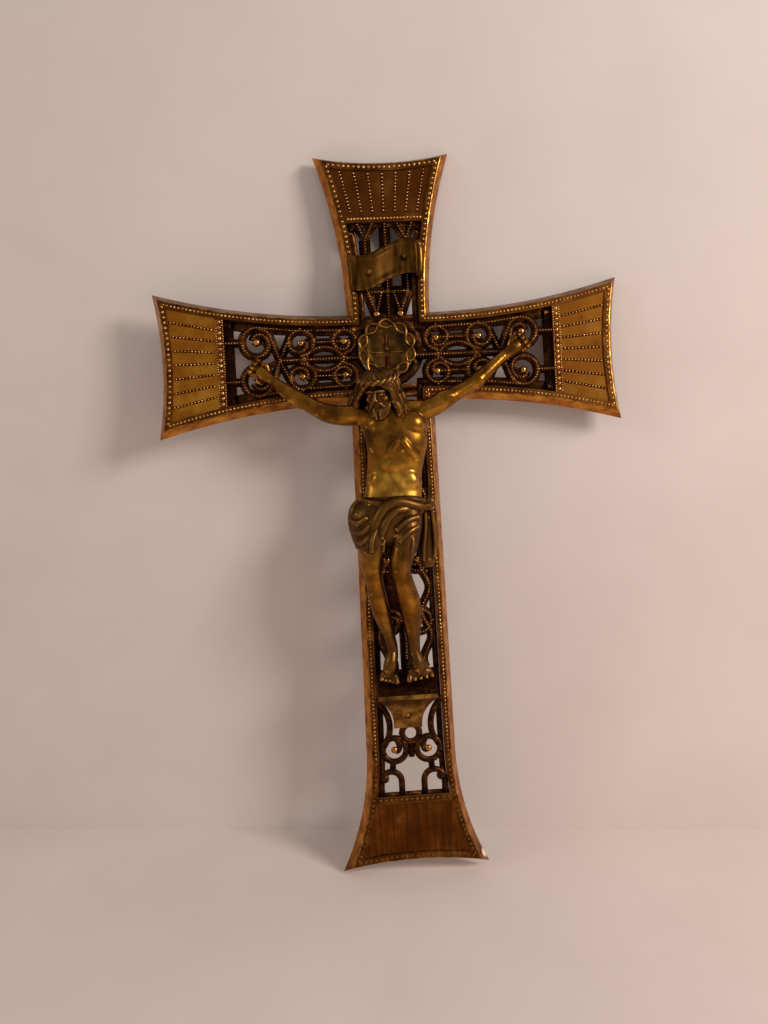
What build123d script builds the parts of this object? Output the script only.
from build123d import *
import os
from math import atan2, cos, degrees, radians, sin

# Wall crucifix of cast and soldered brass, in millimetres.
# X runs to the right, Y into the wall and Z up. The wall is the plane Y = 0.
# The origin is the middle of the foot's back rim. The crossing is the centre of every front drawing.
# Heights are distances off the wall, towards the viewer. Sides of the figure are its own.

# Cross outline, at the wall
TOP_REACH = 78.7
FOOT_REACH = 201.3
ARM_REACH = 91.0
TOP_WIDTH = 53.0
SIDE_HEIGHT = 56.2
FOOT_WIDTH = 58.0
SHAFT_WIDTH = 32.6
BEAM_HEIGHT = 34.4
WAIST_WIDTH = 35.2
FOOT_FLARE = 46.0
END_HOLLOW = 2.7

# Cross section
PLATE_DEPTH = 4.5
SIDE_DRAFT = 2.1
FRONT_SHEET = 1.2
SIDE_WALL = 1.2
FRONT_BORDER = 2.6
FIELD_DEPTH = 0.5
END_PANEL = 27.2
FOOT_PANEL_SHARE = 0.1485
BAR_WIDTH = 3.0

# Beaded wire on the front
BEADING_WIDTH = 1.0
BEADING_RISE = 0.5
RAY_COUNT = 7
RAY_WIDTH = 0.8
RAY_RISE = 0.6
RAY_GAP = 0.2

# Openwork panels
PANEL_THICK = 1.2
PANEL_LAP = 0.9
PANEL_RAIL = 2.4
PANEL_GAP = 0.1
WIRE_WIDTH = 2.1
HEAVY_WIRE = 2.4
BEAD_RADIUS = 1.1
BEAD_CROWN = 0.5
BEAD_RISE = 0.9
BEAD_SIDES = 6
RING_STEPS = 8
CURL_SWEEP = 210
CURL_STEPS = 3
LENS_STEPS = 6

# Beam scrolls: places along the arm and across it, as shares of the arm window and its half height
CURL_SHARES = (0.12, 0.52)
LENS_SHARES = (0.127, 0.42)
LENS_RISE_SHARE = 0.37
HEART_SHARES = (0.44, 0.52)
HEART_POINT_SHARE = 0.60
LYRE_SHARES = (0.765, 0.60)
CURL_RADIUS_SHARE = 0.35
HEART_RADIUS_SHARE = 0.39
LYRE_RADIUS_SHARE = 0.45

# Upper panel: a vee, its tip and the feet of the lower vee, as shares of the window's half width and height
VEE_SHARES = (0.92, 0.68, 0.40)
VEE_TIP_SHARE = 0.84
FOOT_VEE_SHARE = 0.32
EYE_VEE_SHARE = 0.10

# Shaft panel: places down the window behind the figure, and between footrest and window end
SHAFT_SCROLL_SHARES = (0.17, 0.39, 0.61, 0.83)
SHAFT_RADIUS_SHARE = 0.38
SHAFT_PLACE_SHARE = 0.50
RING_SCROLL_SHARES = (0.335, 0.38)
RING_RADIUS_SHARE = 0.40
EYELET_SHARE = 0.10
EYELET_RADIUS = 2.6
HOOK_SHARES = (0.74, 0.56)
HOOK_RADIUS_SHARE = 0.20

# Title ribbon
TITLE_WIDTH = 27.4
TITLE_HEIGHT = 12.4
TITLE_THICK = 1.0
TITLE_WAVE = 3.0
TITLE_BULGE = 1.0
TITLE_PLACE_SHARE = 0.567
TITLE_CLEAR = 0.7
TITLE_STATION_SHARES = (-0.5, -0.3, 0.18, 0.5)
TITLE_WAVE_SHARES = (-0.6, -1.0, 0.9, 0.73)
SEAT_GAP = 0.15

# Nimbus
NIMBUS_SHIFT = -1.6
NIMBUS_UP = 2.6
NIMBUS_RADIUS = 11.4
NIMBUS_DISH = 7.6
NIMBUS_THICK = 1.4
NIMBUS_FLOOR = 0.7
NIMBUS_LOBES = 9
LOBE_STEPS = 6
LOBE_DEPTH = 1.1
BOSS_RISE = 1.5
BOSS_RADIUS = 2.4
PALM_BOSS = 1.7

# Rivets and nails
PIN_SIDES = 8
SHANK_RADIUS = 0.6
HEAD_RADIUS = 1.4
HEAD_CROWN = 0.8
HEAD_RISE = 0.9
TAIL_RADIUS = 1.0
TAIL_THICK = 0.5
PIN_FIT = 0.05

# Figure: overall size as a share of the shaft, and place of the pit of the neck
CORPUS_SHARE = 0.596
CORPUS_BACK = 6.0
FIGURE_SIDES = 8
NECK_SHIFT = -2.0
NECK_DROP = 21.0
RIGHT_NAIL_SHARE = 0.569
RIGHT_NAIL_UP = -3.6
LEFT_NAIL_SHARE = 0.543
LEFT_NAIL_UP = 1.6

# Figure, as shares of its height: across, out from its back, up from the neck, half width, half depth
TRUNK_SHARES = (
    (-0.010, 0.058, 0.030, 0.033, 0.031),
    (-0.004, 0.046, 0.004, 0.088, 0.035),
    (0.004, 0.047, -0.042, 0.106, 0.045),
    (0.012, 0.050, -0.108, 0.102, 0.050),
    (0.002, 0.042, -0.220, 0.086, 0.037),
    (-0.013, 0.050, -0.375, 0.099, 0.047),
)
CLOTH_SHARES = (
    (-0.010, 0.047, -0.279, 0.105, 0.051),
    (-0.025, 0.053, -0.342, 0.122, 0.060),
    (-0.024, 0.058, -0.430, 0.108, 0.063),
)
# Figure, as shares of its height: across, out, up, radius
RIGHT_LEG_SHARES = (
    (-0.062, 0.056, -0.400, 0.044),
    (-0.088, 0.092, -0.525, 0.034),
    (-0.072, 0.060, -0.633, 0.030),
    (-0.050, 0.036, -0.717, 0.021),
    (-0.038, 0.027, -0.767, 0.020),
    (-0.046, 0.034, -0.815, 0.026),
    (-0.052, 0.044, -0.862, 0.022),
)
LEFT_LEG_SHARES = (
    (0.036, 0.058, -0.400, 0.045),
    (0.002, 0.100, -0.525, 0.036),
    (0.024, 0.068, -0.625, 0.034),
    (0.027, 0.042, -0.708, 0.023),
    (0.026, 0.032, -0.767, 0.021),
    (0.038, 0.038, -0.815, 0.027),
    (0.044, 0.048, -0.862, 0.023),
)
CLOTH_TAIL_SHARES = (
    (0.100, 0.038, -0.283, 0.028),
    (0.108, 0.028, -0.505, 0.025),
)
HAIR_SHARES = (
    (-0.040, 0.066, 0.122, 0.030, 0.026),
    (-0.036, 0.064, 0.096, 0.058, 0.050),
    (-0.030, 0.062, 0.055, 0.068, 0.052),
    (-0.024, 0.058, 0.012, 0.066, 0.044),
    (-0.022, 0.052, -0.014, 0.058, 0.036),
)
BEARD_SHARES = (
    (-0.037, 0.107, 0.030, 0.026, 0.021),
    (-0.037, 0.111, 0.003, 0.022, 0.021),
    (-0.037, 0.113, -0.022, 0.010, 0.012),
)
HEAD_SHARES = (
    (-0.034, 0.080, 0.104, 0.034, 0.038),
    (-0.034, 0.082, 0.070, 0.044, 0.048),
    (-0.035, 0.084, 0.034, 0.040, 0.046),
    (-0.036, 0.086, 0.006, 0.026, 0.034),
)

# Arms: place from shoulder to palm, drop below that line and radius, shares of arm length and figure
RIGHT_SHOULDER_SHARES = (-0.117, 0.046, -0.012)
LEFT_SHOULDER_SHARES = (0.121, 0.046, -0.006)
ARM_STATION_SHARES = (0.0, 0.22, 0.47, 0.68, 0.86, 0.96)
ARM_DROP_SHARES = (0.0, 0.060, 0.078, 0.038, -0.005, 0.0)
ARM_RADIUS_SHARES = (0.031, 0.027, 0.022, 0.021, 0.016, 0.016)
STUMP_SHARE = 0.070
SPIGOT_RADIUS = 1.6
SPIGOT_LENGTH = 4.0
HAND_THICK = 3.2
PALM_SHARES = (0.032, 0.028)
PALM_TAPER = 18.0
FINGER_ROLL_SHARES = (0.015, 0.022)
FINGER_REACH_SHARE = 0.034

# Footrest
FOOTREST_SHIFT = -1.0
FOOTREST_DEPTH = 14.5
FOOTREST_BACK_SHARE = 0.841
FOOTREST_SLOPE_SHARE = 0.065
FOOTREST_LIP = 1.6
FOOTREST_HEIGHT_SHARE = 0.188
FOOTREST_WIDTH = 22.6
FOOTREST_TAIL_WIDTH = 11.0
FOOTREST_TAIL_DEPTH = 5.6
FOOTREST_COVE = 2.6
FOOTREST_WAIST = 2.0
FOOTREST_RIVET_SHARE = 0.24
FOOT_NAIL_LENGTH = 3.0
FOOT_NAIL_SHARE = 0.55

# Hanger behind the top panel
HANGER_DROP = 15.5
RING_WIRE = 0.7
RING_WIDTH = 10.0
RING_SHOULDER = 3.0
RING_SIDE = 3.4
STAPLE_WIDTH = 3.0
STAPLE_THICK = 0.8
STAPLE_FIT = 0.2
RING_CLEAR = 0.3

# Values that follow from the sizes above
OVERRUN = 40.0
TOP_HALF = TOP_WIDTH / 2
SIDE_HALF = SIDE_HEIGHT / 2
FOOT_HALF = FOOT_WIDTH / 2
SHAFT_HALF = SHAFT_WIDTH / 2
BEAM_HALF = BEAM_HEIGHT / 2
WAIST_HALF = WAIST_WIDTH / 2
CROSS_Z = FOOT_REACH - END_HOLLOW - SIDE_WALL / 2
SHEET_BACK = PLATE_DEPTH - FRONT_SHEET
PANEL_FRONT = SHEET_BACK
PANEL_BACK = PANEL_FRONT - PANEL_THICK
BOSS_FRONT = PANEL_FRONT + BOSS_RISE
WINDOW_INSET = SIDE_DRAFT + FRONT_BORDER
WINDOW_SHAFT_HALF = SHAFT_HALF - WINDOW_INSET
WINDOW_BEAM_HALF = BEAM_HALF - WINDOW_INSET
WINDOW_ARM_END = ARM_REACH - END_PANEL
WINDOW_TOP = TOP_REACH - END_PANEL
WINDOW_FOOT = (FOOT_PANEL_SHARE - 1) * FOOT_REACH
ARM_WINDOW = WINDOW_ARM_END - WINDOW_SHAFT_HALF
TITLE_FRONT = PLATE_DEPTH + BEADING_RISE + TITLE_CLEAR
TITLE_UP = WINDOW_BEAM_HALF + TITLE_PLACE_SHARE * (WINDOW_TOP - WINDOW_BEAM_HALF)
CORPUS_HEIGHT = CORPUS_SHARE * FOOT_REACH
FOOTREST_HEIGHT = FOOTREST_HEIGHT_SHARE * CORPUS_HEIGHT
FOOTREST_SLOPE = FOOTREST_SLOPE_SHARE * CORPUS_HEIGHT
FOOTREST_TOP = -NECK_DROP - FOOTREST_BACK_SHARE * CORPUS_HEIGHT
FOOTREST_TAIL = FOOTREST_TOP - FOOTREST_HEIGHT
FOOTREST_RIVET_Z = FOOTREST_TAIL + FOOTREST_RIVET_SHARE * FOOTREST_HEIGHT
HANGER_Z = TOP_REACH - HANGER_DROP
RING_HEIGHT = SHEET_BACK - RING_CLEAR - RING_WIRE
CROSS_PLANE = Plane(origin=(0, 0, CROSS_Z), x_dir=(1, 0, 0), z_dir=(0, -1, 0))


# Small tools for drawing and for solids

def slab(drawing, low, high):
    """Solid of a front drawing between two heights off the wall."""
    return extrude(CROSS_PLANE.offset(low) * drawing, amount=high - low)


def spot(across, height, up):
    """Point in space from a place on the front drawing and a height off the wall."""
    return Vector(across, -height, up + CROSS_Z)


def drawn_in(face, amount):
    return offset(face, amount=-amount, kind=Kind.INTERSECTION)


def box_drawing(left, right, low, high):
    return Pos((left + right) / 2, (low + high) / 2) * Rectangle(right - left, high - low)


def straight(start, end, width=WIRE_WIDTH):
    """Straight wire between two points, run on by half its width at each end."""
    run = Vector(*end) - Vector(*start)
    middle = (Vector(*start) + Vector(*end)) / 2
    turn = degrees(atan2(run.Y, run.X))
    return Pos(middle.X, middle.Y) * Rot(0, 0, turn) * Rectangle(run.length + width, width)


def wire_band(stations, width):
    """Flat wire through stations, each a centre, a radius and an angle about that centre."""
    outer = [on_circle(center, radius + width / 2, angle) for center, radius, angle in stations]
    inner = [on_circle(center, radius - width / 2, angle) for center, radius, angle in stations]
    return make_face(Polyline(*outer, *reversed(inner), close=True))


def turns(center, radius, start, sweep, steps):
    return [(center, radius, start + sweep * step / steps) for step in range(steps + 1)]


def bent(center, radius, start, sweep, width=WIRE_WIDTH):
    """Round wire about a centre, from a start angle through a sweep."""
    return wire_band(turns(center, radius, start, sweep, RING_STEPS), width)


def scroll(center, radius, start, sweep, width=WIRE_WIDTH):
    """Wire that goes round a centre, then curls in until it lies under the bead at that centre."""
    last = start + sweep
    curl_sweep = CURL_SWEEP if sweep > 0 else -CURL_SWEEP
    ring = turns(center, radius, start, sweep, RING_STEPS)
    curl = turns(on_circle(center, radius / 2, last), radius / 2, last, curl_sweep, CURL_STEPS)
    return wire_band(ring + curl[1:], width)


def on_circle(center, radius, angle):
    return (center[0] + radius * cos(radians(angle)), center[1] + radius * sin(radians(angle)))


def pin_drawing(radius):
    return RegularPolygon(radius, PIN_SIDES)


def button(low_radius, high_radius, rise, sides):
    """Low faceted button, narrower at its crown."""
    draft = (low_radius - high_radius) * cos(radians(180 / sides))
    return extrude(RegularPolygon(low_radius, sides), amount=rise, taper=degrees(atan2(draft, rise)))


def rivet(place, height, back):
    """Rivet with its head at a height, its shank down to the back and a peened tail behind it."""
    shank = extrude(pin_drawing(SHANK_RADIUS), amount=height - back)
    tail = extrude(pin_drawing(TAIL_RADIUS), amount=-TAIL_THICK)
    head = Pos(0, 0, height - back) * button(HEAD_RADIUS, HEAD_CROWN, HEAD_RISE, PIN_SIDES)
    return CROSS_PLANE.offset(back) * Pos(*place) * (shank + tail + head)


def rivet_hole(place, low, high):
    return slab(Pos(*place) * pin_drawing(SHANK_RADIUS + PIN_FIT), low, high)


def head_seat(place, low):
    """Room for a rivet's head, from a height outwards."""
    return slab(Pos(*place) * pin_drawing(HEAD_RADIUS + PIN_FIT), low, OVERRUN)


# Cross body

def cross_outline():
    """Flared cross with hollow ends, as it meets the wall."""
    edges = [
        ThreePointArc((-TOP_HALF, TOP_REACH), (0, TOP_REACH - END_HOLLOW), (TOP_HALF, TOP_REACH)),
        ThreePointArc((-FOOT_HALF, -FOOT_REACH), (0, END_HOLLOW - FOOT_REACH), (FOOT_HALF, -FOOT_REACH)),
    ]
    for side in (-1, 1):
        high = (side * SHAFT_HALF, BEAM_HALF)
        low = (side * SHAFT_HALF, -BEAM_HALF)
        waist = (side * WAIST_HALF, FOOT_FLARE - FOOT_REACH)
        end = side * ARM_REACH
        edges += [
            TangentArc(high, (side * TOP_HALF, TOP_REACH), tangent=(0, 1)),
            TangentArc(high, (end, SIDE_HALF), tangent=(side, 0)),
            ThreePointArc((end, SIDE_HALF), (end - side * END_HOLLOW, 0), (end, -SIDE_HALF)),
            TangentArc(low, (end, -SIDE_HALF), tangent=(side, 0)),
            Line(low, waist),
            TangentArc(waist, (side * FOOT_HALF, -FOOT_REACH), tangent=Vector(*waist) - Vector(*low)),
        ]
    return make_face(edges)


OUTLINE = cross_outline()
INNER = drawn_in(OUTLINE, WINDOW_INSET)


def end_fields(gap):
    """Sunk field of each end panel, drawn in by a gap: top, right, left and foot."""
    face = drawn_in(OUTLINE, WINDOW_INSET + gap)
    near = BAR_WIDTH + gap
    return [
        face & box_drawing(-OVERRUN, OVERRUN, WINDOW_TOP + near, TOP_REACH),
        face & box_drawing(WINDOW_ARM_END + near, ARM_REACH, -OVERRUN, OVERRUN),
        face & box_drawing(-ARM_REACH, -WINDOW_ARM_END - near, -OVERRUN, OVERRUN),
        face & box_drawing(-OVERRUN, OVERRUN, -FOOT_REACH, WINDOW_FOOT - near),
    ]


def cross_frame():
    """Bevelled shell, hollow at the back, with the window and the sunk fields."""
    sheet_draft = SIDE_DRAFT * SHEET_BACK / PLATE_DEPTH
    front = CROSS_PLANE.offset(PLATE_DEPTH) * drawn_in(OUTLINE, SIDE_DRAFT)
    shell = loft([CROSS_PLANE * OUTLINE, front], ruled=True)
    hollow_back = CROSS_PLANE * drawn_in(OUTLINE, SIDE_WALL)
    hollow_front = CROSS_PLANE.offset(SHEET_BACK) * drawn_in(OUTLINE, SIDE_WALL + sheet_draft)
    shell -= loft([hollow_back, hollow_front], ruled=True)
    window = INNER & box_drawing(-WINDOW_ARM_END, WINDOW_ARM_END, WINDOW_FOOT, WINDOW_TOP)
    shell -= slab(window, 0, PLATE_DEPTH)
    for field in end_fields(0):
        shell -= slab(field, PLATE_DEPTH - FIELD_DEPTH, PLATE_DEPTH)
    return shell


def border_beading():
    """Beaded wire round the cross, with a cross bar at each end panel."""
    edge = SIDE_DRAFT + (FRONT_BORDER - BEADING_WIDTH) / 2
    loop_face = drawn_in(OUTLINE, edge)
    inside = drawn_in(OUTLINE, edge + BEADING_WIDTH)
    drawing = loop_face - inside
    half = BEADING_WIDTH / 2
    middle = BAR_WIDTH / 2
    bars = [
        box_drawing(-OVERRUN, OVERRUN, WINDOW_TOP + middle - half, WINDOW_TOP + middle + half),
        box_drawing(-OVERRUN, OVERRUN, WINDOW_FOOT - middle - half, WINDOW_FOOT - middle + half),
        box_drawing(WINDOW_ARM_END + middle - half, WINDOW_ARM_END + middle + half, -OVERRUN, OVERRUN),
        box_drawing(-WINDOW_ARM_END - middle - half, -WINDOW_ARM_END - middle + half, -OVERRUN, OVERRUN),
    ]
    for bar in bars:
        drawing += bar & loop_face
    return slab(drawing, PLATE_DEPTH, PLATE_DEPTH + BEADING_RISE)


def fan_rays():
    """Strips that fan out over the top and side fields."""
    floor = PLATE_DEPTH - FIELD_DEPTH
    fields = end_fields(RAY_GAP)
    ends = (
        (fields[0], 90, WINDOW_TOP, TOP_REACH, SHAFT_HALF, TOP_HALF),
        (fields[1], 0, WINDOW_ARM_END, ARM_REACH, BEAM_HALF, SIDE_HALF),
        (fields[2], 180, WINDOW_ARM_END, ARM_REACH, BEAM_HALF, SIDE_HALF),
    )
    strips = []
    for field, turn, near, far, near_half, far_half in ends:
        near_clear = near_half + SIDE_DRAFT - WINDOW_INSET
        far_clear = far_half - SIDE_DRAFT
        for index in range(RAY_COUNT):
            share = 2 * (index + 1) / (RAY_COUNT + 1) - 1
            ray = straight((near, share * near_clear), (far, share * far_clear), RAY_WIDTH)
            strips += slab(field & (Rot(0, 0, turn) * ray), floor, floor + RAY_RISE).solids()
    return Compound(children=strips)


# Openwork panels

LAPPED = drawn_in(OUTLINE, WINDOW_INSET - PANEL_LAP)
RAILED = drawn_in(OUTLINE, WINDOW_INSET - PANEL_LAP + PANEL_RAIL)


def arm_sector(turn):
    """Quarter of the drawing that holds one arm, bounded by the diagonals through the inner corners."""
    start = SHAFT_HALF - BEAM_HALF if turn % 180 == 0 else BEAM_HALF - SHAFT_HALF
    far = start + FOOT_REACH
    corners = Polyline((start, 0), (far, FOOT_REACH), (far, -FOOT_REACH), close=True)
    return Rot(0, 0, turn) * make_face(corners)


def panel_rail(turn, low, high):
    """Rail round an upright panel: it laps behind the front and shows a little in the window."""
    sector = arm_sector(turn)
    outer = LAPPED & sector & box_drawing(-OVERRUN, OVERRUN, low, high)
    return outer - (RAILED & sector & box_drawing(-OVERRUN, OVERRUN, low + PANEL_RAIL, high - PANEL_RAIL))


def beam_rail():
    """Rail round the beam's panel, straight across the crossing."""
    reach = WINDOW_ARM_END + PANEL_LAP
    strip = WINDOW_SHAFT_HALF + PANEL_LAP
    high = WINDOW_BEAM_HALF + PANEL_LAP
    outer = box_drawing(-strip, strip, -high, high)
    inner = box_drawing(-strip, strip, PANEL_RAIL - high, high - PANEL_RAIL)
    for turn, side in ((0, 1), (180, -1)):
        sector = arm_sector(turn)
        ends = sorted((side * strip, side * reach))
        outer += LAPPED & sector & box_drawing(*ends, -OVERRUN, OVERRUN)
        ends = sorted((side * strip, side * (reach - PANEL_RAIL)))
        inner += RAILED & sector & box_drawing(*ends, -OVERRUN, OVERRUN)
    return outer - inner


def arm_place(shares):
    return (WINDOW_SHAFT_HALF + shares[0] * ARM_WINDOW, shares[1] * WINDOW_BEAM_HALF)


def arm_scrolls():
    """Scrolls of the right arm above its axis: curl, lens, heart and lyre."""
    curl = arm_place(CURL_SHARES)
    heart = arm_place(HEART_SHARES)
    lyre = arm_place(LYRE_SHARES)
    curl_radius = CURL_RADIUS_SHARE * WINDOW_BEAM_HALF
    heart_radius = HEART_RADIUS_SHARE * WINDOW_BEAM_HALF
    lyre_radius = LYRE_RADIUS_SHARE * WINDOW_BEAM_HALF
    lens_near = arm_place((LENS_SHARES[0], 0))
    lens_far = arm_place((LENS_SHARES[1], 0))
    lens_half = (lens_far[0] - lens_near[0]) / 2
    lens_rise = LENS_RISE_SHARE * WINDOW_BEAM_HALF
    lens_radius = (lens_half ** 2 + lens_rise ** 2) / (2 * lens_rise)
    lens_center = (lens_near[0] + lens_half, lens_rise - lens_radius)
    lens_angle = degrees(atan2(lens_half, -lens_center[1]))
    point = arm_place((HEART_POINT_SHARE, 0))
    drawing = wire_band(turns(lens_center, lens_radius, 90 + lens_angle, -2 * lens_angle, LENS_STEPS), WIRE_WIDTH)
    drawing += scroll(curl, curl_radius, -90, -270)
    drawing += straight(on_circle(curl, curl_radius, -90), lens_near)
    drawing += straight(on_circle(curl, curl_radius, 90), (curl[0], WINDOW_BEAM_HALF))
    drawing += scroll(heart, heart_radius, -90, -270)
    drawing += straight(on_circle(heart, heart_radius, -90), lens_far)
    drawing += straight(on_circle(heart, heart_radius, 30), point)
    drawing += straight(on_circle(heart, heart_radius, 90), (heart[0], WINDOW_BEAM_HALF))
    drawing += scroll(lyre, lyre_radius, 150, -270)
    drawing += straight(point, on_circle(lyre, lyre_radius, 150))
    drawing += straight(on_circle(lyre, lyre_radius, 0), (WINDOW_ARM_END, lyre[1]))
    return drawing


def nail_places():
    return [(-RIGHT_NAIL_SHARE * ARM_REACH, RIGHT_NAIL_UP), (LEFT_NAIL_SHARE * ARM_REACH, LEFT_NAIL_UP)]


def beam_scrollwork():
    """Openwork of the whole beam, with bosses for the nimbus and the hands."""
    drawing = beam_rail()
    quarter = arm_scrolls()
    half = quarter + mirror(quarter, Plane.XZ)
    drawing += half + mirror(half, Plane.YZ)
    point = arm_place((HEART_POINT_SHARE, 0))[0]
    drawing += straight((-point, 0), (point, 0))
    bosses = [((NIMBUS_SHIFT, NIMBUS_UP), BOSS_RADIUS)] + [(place, PALM_BOSS) for place in nail_places()]
    stem = WINDOW_BEAM_HALF + PANEL_LAP - PANEL_RAIL / 2
    drawing += straight((0, -stem), (0, stem))
    for place in nail_places():
        root = point if place[0] > 0 else -point
        drawing += straight((root, 0), place)
    drawing += [Pos(*place) * pin_drawing(radius) for place, radius in bosses]
    solid = slab(drawing, PANEL_BACK, PANEL_FRONT)
    for place, radius in bosses:
        solid += slab(Pos(*place) * pin_drawing(radius), PANEL_FRONT, BOSS_FRONT)
        solid -= rivet_hole(place, PANEL_BACK, BOSS_FRONT)
    return solid


def title_pin_places():
    """Pins sit at the crest and the trough of the ribbon's depth wave."""
    quarter = TITLE_WIDTH / 4
    return [
        (-quarter, TITLE_UP - TITLE_WAVE, TITLE_FRONT + TITLE_THICK / 2 + TITLE_BULGE),
        (quarter, TITLE_UP + TITLE_WAVE, TITLE_FRONT + TITLE_THICK / 2 - TITLE_BULGE),
    ]


def upper_eyes():
    low = WINDOW_BEAM_HALF
    up = low + EYE_VEE_SHARE * (WINDOW_TOP - low)
    return [(side * VEE_SHARES[2] * WINDOW_SHAFT_HALF, up) for side in (-1, 1)]


def upper_scrollwork():
    """Openwork above the beam: vees of beaded wire about a central stem."""
    low = WINDOW_BEAM_HALF
    tall = WINDOW_TOP - low
    wide = WINDOW_SHAFT_HALF
    base = low + PANEL_LAP + PANEL_GAP
    drawing = panel_rail(90, base, WINDOW_TOP + PANEL_LAP)
    drawing += straight((0, low + PANEL_RAIL), (0, WINDOW_TOP))
    for side in (-1, 1):
        outer, tip, inner = [side * share * wide for share in VEE_SHARES]
        tip_up = low + VEE_TIP_SHARE * tall
        foot_up = low + FOOT_VEE_SHARE * tall
        eye = upper_eyes()[0 if side < 0 else 1]
        drawing += straight((outer, WINDOW_TOP), (tip, tip_up))
        drawing += straight((inner, WINDOW_TOP), (tip, tip_up))
        drawing += straight((tip, tip_up), (tip, foot_up))
        drawing += straight((tip, foot_up), eye)
        drawing += straight((inner / 2, foot_up), eye)
        drawing += straight((tip, foot_up), (0, foot_up))
        drawing += straight(eye, (eye[0], low + PANEL_RAIL))
    for across, up, height in title_pin_places():
        drawing += straight((across, up), (0, up))
        drawing += Pos(across, up) * pin_drawing(BOSS_RADIUS)
    solid = slab(drawing, PANEL_BACK, PANEL_FRONT)
    for across, up, height in title_pin_places():
        boss_top = height - TITLE_THICK / 2 - SEAT_GAP
        solid += slab(Pos(across, up) * pin_drawing(BOSS_RADIUS), PANEL_FRONT, boss_top)
        solid -= rivet_hole((across, up), PANEL_BACK, boss_top)
    return solid


def shaft_scroll_places():
    """Centres of the paired scrolls behind the figure, from the beam down to the footrest."""
    top = -WINDOW_BEAM_HALF
    across = SHAFT_PLACE_SHARE * WINDOW_SHAFT_HALF
    return [(across, top + share * (FOOTREST_TOP - top)) for share in SHAFT_SCROLL_SHARES]


def below_footrest(shares):
    """Place below the footrest: share of the height left there, and share of the window's half width."""
    return (shares[1] * WAIST_HALF, FOOTREST_TAIL + shares[0] * (WINDOW_FOOT - FOOTREST_TAIL))


def shaft_scrollwork():
    """Openwork below the beam: paired scrolls on a stem, with ring scrolls and hooks under the footrest."""
    top = -WINDOW_BEAM_HALF - PANEL_LAP - PANEL_GAP
    drawing = panel_rail(270, WINDOW_FOOT - PANEL_LAP, top)
    eyelet = (0, FOOTREST_TAIL + EYELET_SHARE * (WINDOW_FOOT - FOOTREST_TAIL))
    ring = below_footrest(RING_SCROLL_SHARES)
    hook = below_footrest(HOOK_SHARES)
    ring_radius = RING_RADIUS_SHARE * WINDOW_SHAFT_HALF
    hook_radius = HOOK_RADIUS_SHARE * WINDOW_SHAFT_HALF
    scroll_radius = SHAFT_RADIUS_SHARE * WINDOW_SHAFT_HALF
    half = straight((0, top - PANEL_RAIL), (0, eyelet[1]))
    for index, (across, up) in enumerate(shaft_scroll_places()):
        start, sweep = (180, -270) if index % 2 else (180, 270)
        half += scroll((across, up), scroll_radius, start, sweep)
        half += straight((0, up), (across - scroll_radius, up))
        half += straight((across + scroll_radius, up), (WINDOW_SHAFT_HALF, up))
    cove_top = (WAIST_HALF - WINDOW_INSET, FOOTREST_TAIL + FOOTREST_HEIGHT / 2)
    cove_end = (ring[0] + ring_radius, ring[1])
    cove_middle = (ring[0], (cove_top[1] + cove_end[1]) / 2)
    flank = ThreePointArc(cove_top, cove_middle, cove_end)
    flank_inner = ThreePointArc(
        (cove_top[0] - HEAVY_WIRE, cove_top[1]),
        (cove_middle[0] - HEAVY_WIRE, cove_middle[1]),
        (cove_end[0] - HEAVY_WIRE, cove_end[1]),
    )
    half += make_face([
        flank, flank_inner,
        Line(flank @ 0, flank_inner @ 0), Line(flank @ 1, flank_inner @ 1),
    ])
    edge = WAIST_HALF - WINDOW_INSET
    half += scroll(ring, ring_radius, 0, -270, HEAVY_WIRE)
    half += straight((0, eyelet[1]), on_circle(ring, ring_radius, 180), HEAVY_WIRE)
    half += straight(on_circle(ring, ring_radius, -90), (hook[0], hook[1] + hook_radius), HEAVY_WIRE)
    half += straight(on_circle(ring, ring_radius, 0), (edge, ring[1]), HEAVY_WIRE)
    half += bent(hook, hook_radius, 90, 270)
    half += straight(on_circle(hook, hook_radius, 0), (edge, hook[1]))
    drawing += half + mirror(half, Plane.YZ)
    drawing += Pos(*eyelet) * Circle(EYELET_RADIUS + WIRE_WIDTH / 2)
    drawing += Pos(FOOTREST_SHIFT, FOOTREST_RIVET_Z) * pin_drawing(BOSS_RADIUS)
    drawing += straight((FOOTREST_SHIFT, FOOTREST_RIVET_Z), (0, FOOTREST_RIVET_Z))
    drawing -= Pos(*eyelet) * Circle(EYELET_RADIUS - WIRE_WIDTH / 2)
    solid = slab(drawing, PANEL_BACK, PANEL_FRONT)
    return solid - rivet_hole((FOOTREST_SHIFT, FOOTREST_RIVET_Z), PANEL_BACK, PANEL_FRONT)


def scroll_eyes():
    """Every scroll eye that carries a bead."""
    arm = [arm_place(CURL_SHARES), arm_place(HEART_SHARES), arm_place(LYRE_SHARES)]
    eyes = [(side * x, end * y) for x, y in arm for side in (-1, 1) for end in (-1, 1)]
    shaft = shaft_scroll_places() + [below_footrest(RING_SCROLL_SHARES)]
    eyes += [(side * x, y) for x, y in shaft for side in (-1, 1)]
    return eyes + upper_eyes()


def scroll_beads():
    beads = []
    for place in scroll_eyes():
        bead = button(BEAD_RADIUS, BEAD_CROWN, BEAD_RISE, BEAD_SIDES)
        beads.append(CROSS_PLANE.offset(PANEL_FRONT) * Pos(*place) * bead)
    return Compound(children=beads)


# Title ribbon, nimbus and their fasteners

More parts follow.
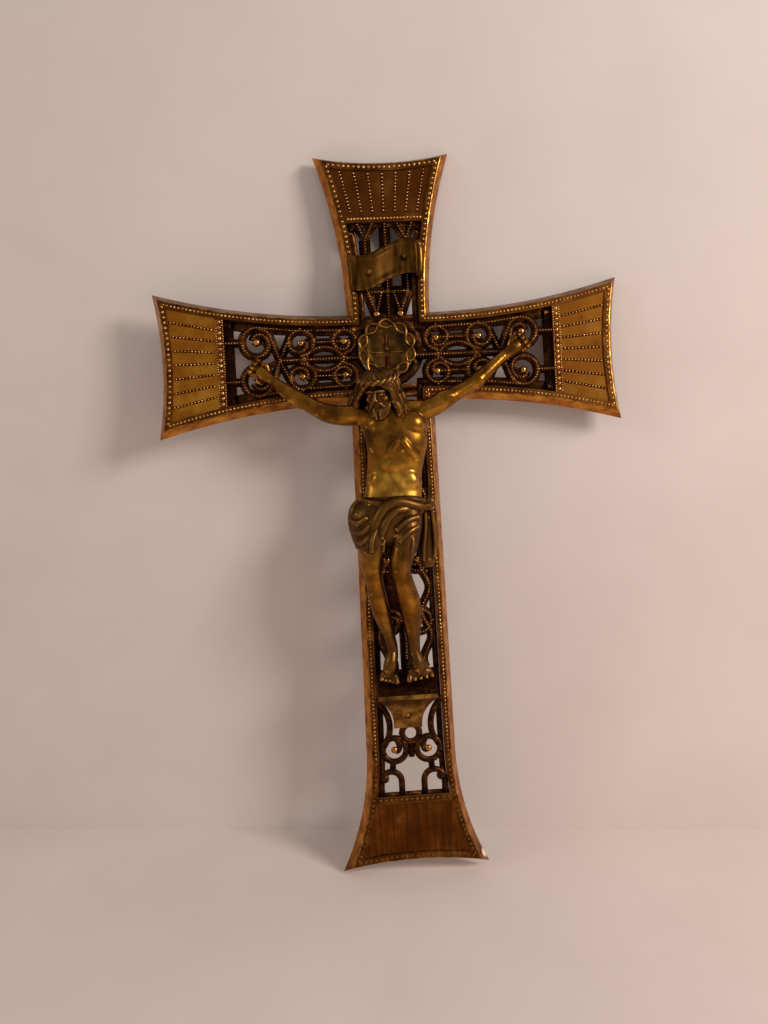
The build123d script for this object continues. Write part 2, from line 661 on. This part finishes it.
def title_scroll():
    """Ribbon waved both up and down and in depth."""
    half = TITLE_HEIGHT / 2
    stations = [share * TITLE_WIDTH for share in TITLE_STATION_SHARES]
    waves = [TITLE_UP + share * TITLE_WAVE for share in TITLE_WAVE_SHARES]
    upper = Spline(*[(x, z + half) for x, z in zip(stations, waves)])
    lower = Spline(*[(x, z - half) for x, z in zip(stations, waves)])
    outline = make_face([upper, lower, Line(upper @ 0, lower @ 0), Line(upper @ 1, lower @ 1)])
    middle = TITLE_FRONT + TITLE_THICK / 2
    quarter = TITLE_WIDTH / 4
    wave = [
        ThreePointArc((-2 * quarter, -middle), (-quarter, -middle - TITLE_BULGE), (0, -middle)),
        ThreePointArc((0, -middle), (quarter, -middle + TITLE_BULGE), (2 * quarter, -middle)),
    ]
    plan = trace(wave, TITLE_THICK)
    sheet = extrude(Pos(0, 0, CROSS_Z) * plan, amount=TITLE_UP + OVERRUN)
    ribbon = sheet & slab(outline, 0, OVERRUN)
    for across, up, height in title_pin_places():
        ribbon -= rivet_hole((across, up), 0, OVERRUN)
        ribbon -= head_seat((across, up), height + TITLE_THICK / 2)
    return ribbon


def title_pins():
    pins = []
    for across, up, height in title_pin_places():
        pins.append(rivet((across, up), height + TITLE_THICK / 2, PANEL_BACK))
    return Compound(children=pins)


def nimbus():
    """Disc with a waved edge and a dished middle."""
    steps = NIMBUS_LOBES * LOBE_STEPS
    edge = []
    for step in range(steps):
        dip = LOBE_DEPTH * (1 - cos(radians(360 * step / LOBE_STEPS))) / 2
        edge.append(on_circle((NIMBUS_SHIFT, NIMBUS_UP), NIMBUS_RADIUS - dip, 360 * step / steps))
    dish = Pos(NIMBUS_SHIFT, NIMBUS_UP) * RegularPolygon(NIMBUS_DISH, steps // 2)
    disc = slab(make_face(Polyline(*edge, close=True)), BOSS_FRONT, BOSS_FRONT + NIMBUS_THICK)
    disc -= slab(dish, BOSS_FRONT + NIMBUS_FLOOR, BOSS_FRONT + NIMBUS_THICK)
    return disc - rivet_hole((NIMBUS_SHIFT, NIMBUS_UP), BOSS_FRONT, BOSS_FRONT + NIMBUS_THICK)


def nimbus_rivet():
    return rivet((NIMBUS_SHIFT, NIMBUS_UP), BOSS_FRONT + NIMBUS_FLOOR, PANEL_BACK)


# Figure

def figure_point(shares):
    """Point of the figure from its shares: across, out from the back and up from the neck."""
    across, out, up = [share * CORPUS_HEIGHT for share in shares[:3]]
    return spot(NECK_SHIFT + across, CORPUS_BACK + out, up - NECK_DROP)


def oval(wide, deep):
    """Oval section with a few flat sides, from its half sizes."""
    corners = [on_circle((0, 0), 1, 360 * step / FIGURE_SIDES) for step in range(FIGURE_SIDES)]
    return make_face(Polyline(*[(wide * x, deep * y) for x, y in corners], close=True))


def level_loft(rows):
    """Loft through level ovals."""
    sections = []
    for row in rows:
        wide, deep = [share * CORPUS_HEIGHT for share in row[3:]]
        sections.append(Plane(figure_point(row)) * oval(wide, deep))
    return loft(sections, ruled=True)


def limb(points, radii):
    """Loft through round sections set square to the limb's line."""
    sections = []
    for index, radius in enumerate(radii):
        ahead = points[min(index + 1, len(points) - 1)]
        behind = points[max(index - 1, 0)]
        plane = Plane(origin=points[index], x_dir=(0, -1, 0), z_dir=ahead - behind)
        sections.append(plane * oval(radius, radius))
    return loft(sections, ruled=True)


def figure_limb(rows):
    return limb([figure_point(row) for row in rows], [row[3] * CORPUS_HEIGHT for row in rows])


def arm_stations(side):
    """Points and radii from the shoulder to the palm, and the direction of the arm at the shoulder."""
    shoulder = figure_point(RIGHT_SHOULDER_SHARES if side < 0 else LEFT_SHOULDER_SHARES)
    across, up = nail_places()[0 if side < 0 else 1]
    palm = spot(across, BOSS_FRONT + HAND_THICK / 2, up)
    run = palm - shoulder
    points = []
    for along, drop in zip(ARM_STATION_SHARES, ARM_DROP_SHARES):
        points.append(shoulder + run * along - Vector(0, 0, drop * run.length))
    radii = [share * CORPUS_HEIGHT for share in ARM_RADIUS_SHARES]
    return points, radii, palm


def shoulder_plane(side):
    points, radii, palm = arm_stations(side)
    return Plane(origin=points[0], x_dir=(0, -1, 0), z_dir=points[1] - points[0])


def footrest_plane():
    """Sloping top of the footrest: its normal points up and forward."""
    back = spot(FOOTREST_SHIFT, PANEL_FRONT, FOOTREST_TOP)
    reach = FOOTREST_DEPTH - PANEL_FRONT
    return Plane(origin=back, x_dir=(1, 0, 0), z_dir=(0, -FOOTREST_SLOPE, reach))


def foot_nail_places():
    """Where each foot nail meets the sloping top, under the ball of the foot."""
    top = footrest_plane()
    places = []
    for rows in (RIGHT_LEG_SHARES, LEFT_LEG_SHARES):
        near, far = figure_point(rows[-2]), figure_point(rows[-1])
        place = top.to_local_coords(near + (far - near) * FOOT_NAIL_SHARE)
        lift = place.Z + rows[-2][3] * CORPUS_HEIGHT / 2
        places.append((place.X, place.Y, lift))
    return places


def foot_nail(place, clearance):
    """Nail through a foot, square to the footrest's top: head above the foot, point in the footrest."""
    shank = extrude(pin_drawing(SHANK_RADIUS + clearance), amount=-place[2] - FOOT_NAIL_LENGTH)
    return footrest_plane() * Pos(*place) * shank


def corpus_body():
    """Head, trunk, loincloth and legs in one casting, with a socket at each shoulder."""
    body = level_loft(TRUNK_SHARES)
    body += level_loft(CLOTH_SHARES)
    for rows in (RIGHT_LEG_SHARES, LEFT_LEG_SHARES, CLOTH_TAIL_SHARES):
        body += figure_limb(rows)
    for side in (-1, 1):
        radius = ARM_RADIUS_SHARES[0] * CORPUS_HEIGHT
        body += extrude(shoulder_plane(side) * oval(radius, radius), amount=-STUMP_SHARE * CORPUS_HEIGHT)
    for rows in (HAIR_SHARES, HEAD_SHARES, BEARD_SHARES):
        body += level_loft(rows)
    for side in (-1, 1):
        socket = shoulder_plane(side) * pin_drawing(SPIGOT_RADIUS + PIN_FIT)
        body -= extrude(socket, amount=-SPIGOT_LENGTH - PIN_FIT)
    under = Pos(0, 0, -OVERRUN / 2) * Box(OVERRUN, OVERRUN, OVERRUN)
    body -= footrest_plane() * under
    for place in foot_nail_places():
        body -= foot_nail(place, PIN_FIT)
        seat = extrude(pin_drawing(HEAD_RADIUS + PIN_FIT), amount=OVERRUN)
        body -= footrest_plane() * Pos(*place) * seat
    return body


def corpus_arm(side):
    """Arm with a spigot for the shoulder and a palm that lies flat on its boss."""
    points, radii, palm = arm_stations(side)
    arm = limb(points, radii)
    arm += extrude(shoulder_plane(side) * pin_drawing(SPIGOT_RADIUS), amount=-SPIGOT_LENGTH)
    run = points[-1] - points[-2]
    turn = degrees(atan2(run.Z, run.X))
    wrist_frame = Plane(origin=palm, x_dir=(cos(radians(turn)), 0, sin(radians(turn))), z_dir=(0, -1, 0))
    long_half, wide_half = [share * CORPUS_HEIGHT for share in PALM_SHARES]
    roll_radius, roll_half = [share * CORPUS_HEIGHT for share in FINGER_ROLL_SHARES]
    palm_back = wrist_frame * Pos(0, 0, -HAND_THICK / 2) * oval(long_half, wide_half)
    arm += extrude(palm_back, amount=HAND_THICK, taper=PALM_TAPER)
    reach = FINGER_REACH_SHARE * CORPUS_HEIGHT
    curl = Plane(origin=(reach, 0, roll_radius - HAND_THICK / 2), x_dir=(1, 0, 0), z_dir=(0, 1, 0))
    arm += wrist_frame * extrude(curl * RegularPolygon(roll_radius, FIGURE_SIDES), amount=roll_half, both=True)
    place = nail_places()[0 if side < 0 else 1]
    front = BOSS_FRONT + HAND_THICK - PIN_FIT
    arm -= slab(Pos(*place) * Rectangle(OVERRUN, OVERRUN), 0, BOSS_FRONT)
    arm -= rivet_hole(place, 0, OVERRUN)
    return arm - head_seat(place, front)


def hand_nails():
    front = BOSS_FRONT + HAND_THICK - PIN_FIT
    return Compound(children=[rivet(place, front, PANEL_BACK) for place in nail_places()])


def foot_nails():
    nails = []
    for place in foot_nail_places():
        head = button(HEAD_RADIUS, HEAD_CROWN, HEAD_RISE, PIN_SIDES)
        nails.append(foot_nail(place, 0) + footrest_plane() * Pos(*place) * head)
    return Compound(children=nails)


# Footrest

def footrest():
    """Bracket with a sloping top, a lip, a coved front and a hollow-sided outline that narrows to a tail."""
    lip_up = FOOTREST_TOP - FOOTREST_SLOPE
    side_view = make_face([
        Line((PANEL_FRONT, FOOTREST_TOP), (FOOTREST_DEPTH, lip_up)),
        Line((FOOTREST_DEPTH, lip_up), (FOOTREST_DEPTH, lip_up - FOOTREST_LIP)),
        ThreePointArc(
            (FOOTREST_DEPTH, lip_up - FOOTREST_LIP),
            ((FOOTREST_DEPTH + FOOTREST_TAIL_DEPTH) / 2 - FOOTREST_COVE / 2,
             (lip_up - FOOTREST_LIP + FOOTREST_TAIL) / 2),
            (FOOTREST_TAIL_DEPTH, FOOTREST_TAIL),
        ),
        Line((FOOTREST_TAIL_DEPTH, FOOTREST_TAIL), (PANEL_FRONT, FOOTREST_TAIL)),
        Line((PANEL_FRONT, FOOTREST_TAIL), (PANEL_FRONT, FOOTREST_TOP)),
    ])
    half = FOOTREST_WIDTH / 2
    tail_half = FOOTREST_TAIL_WIDTH / 2
    lip_low = lip_up - FOOTREST_LIP
    sides = [
        Line((-half, FOOTREST_TOP), (half, FOOTREST_TOP)),
        Line((-tail_half, FOOTREST_TAIL), (tail_half, FOOTREST_TAIL)),
    ]
    for side in (-1, 1):
        waist = (side * ((half + tail_half) / 2 - FOOTREST_WAIST), (lip_low + FOOTREST_TAIL) / 2)
        sides += [
            Line((side * half, FOOTREST_TOP), (side * half, lip_low)),
            ThreePointArc((side * half, lip_low), waist, (side * tail_half, FOOTREST_TAIL)),
        ]
    outline = Pos(FOOTREST_SHIFT, 0) * make_face(sides)
    profile_plane = Plane(origin=(FOOTREST_SHIFT, 0, CROSS_Z), x_dir=(0, -1, 0), z_dir=(-1, 0, 0))
    bracket = extrude(profile_plane * side_view, amount=half, both=True)
    bracket &= slab(outline, 0, OVERRUN)
    bracket -= rivet_hole((FOOTREST_SHIFT, FOOTREST_RIVET_Z), 0, OVERRUN)
    bracket -= head_seat((FOOTREST_SHIFT, FOOTREST_RIVET_Z), footrest_seat())
    for place in foot_nail_places():
        bracket -= foot_nail(place, PIN_FIT)
    return bracket


def footrest_seat():
    """Height of the flat seat sunk in the cove for the rivet's head."""
    return FOOTREST_TAIL_DEPTH


def footrest_rivet():
    return rivet((FOOTREST_SHIFT, FOOTREST_RIVET_Z), footrest_seat(), PANEL_BACK)


# Hanger

def hanger_staple():
    """Strap bent round the ring's wire, its two feet on the back of the front sheet."""
    inside = RING_WIRE + STAPLE_FIT
    outside = inside + STAPLE_THICK
    leg = SHEET_BACK - RING_HEIGHT
    arch = Circle(outside) + Pos(leg / 2, 0) * Rectangle(leg, 2 * outside)
    arch -= Circle(inside) + Pos(leg / 2, 0) * Rectangle(leg, 2 * inside)
    arch -= Pos(leg + OVERRUN / 2, 0) * Rectangle(OVERRUN, OVERRUN)
    side_plane = Plane(origin=spot(0, RING_HEIGHT, HANGER_Z), x_dir=(0, -1, 0), z_dir=(-1, 0, 0))
    return extrude(side_plane * arch, amount=STAPLE_WIDTH / 2, both=True)


def hanging_ring():
    """Ring bent from wire, its straight top in the staple, hanging down."""
    half = RING_WIDTH / 2
    flat = half - RING_SHOULDER
    low = -RING_SHOULDER - RING_SIDE
    right = [(flat, 0), (half, -RING_SHOULDER), (half, low), (flat, low - RING_SHOULDER)]
    left = [(-across, up) for across, up in reversed(right)]
    path = Polyline((0, 0), *right, *left, (0, 0))
    plane = Plane(origin=spot(0, RING_HEIGHT, HANGER_Z), x_dir=(1, 0, 0), z_dir=(0, -1, 0))
    return plane * sweep(Plane.YZ * pin_drawing(RING_WIRE), path=path, transition=Transition.RIGHT)


NODES = {
    "cross_frame": cross_frame,
    "beam_scrollwork": beam_scrollwork,
    "upper_scrollwork": upper_scrollwork,
    "shaft_scrollwork": shaft_scrollwork,
    "scroll_beads": scroll_beads,
    "border_beading": border_beading,
    "fan_rays": fan_rays,
    "title_scroll": title_scroll,
    "title_pins": title_pins,
    "nimbus": nimbus,
    "nimbus_rivet": nimbus_rivet,
    "corpus_body": corpus_body,
    "corpus_right_arm": lambda: corpus_arm(-1),
    "corpus_left_arm": lambda: corpus_arm(1),
    "hand_nails": hand_nails,
    "foot_nails": foot_nails,
    "footrest": footrest,
    "footrest_rivet": footrest_rivet,
    "hanger_staple": hanger_staple,
    "hanging_ring": hanging_ring,
}

os.makedirs("parts", exist_ok=True)
for name, make in NODES.items():
    export_step(make(), f"parts/{name}.step")
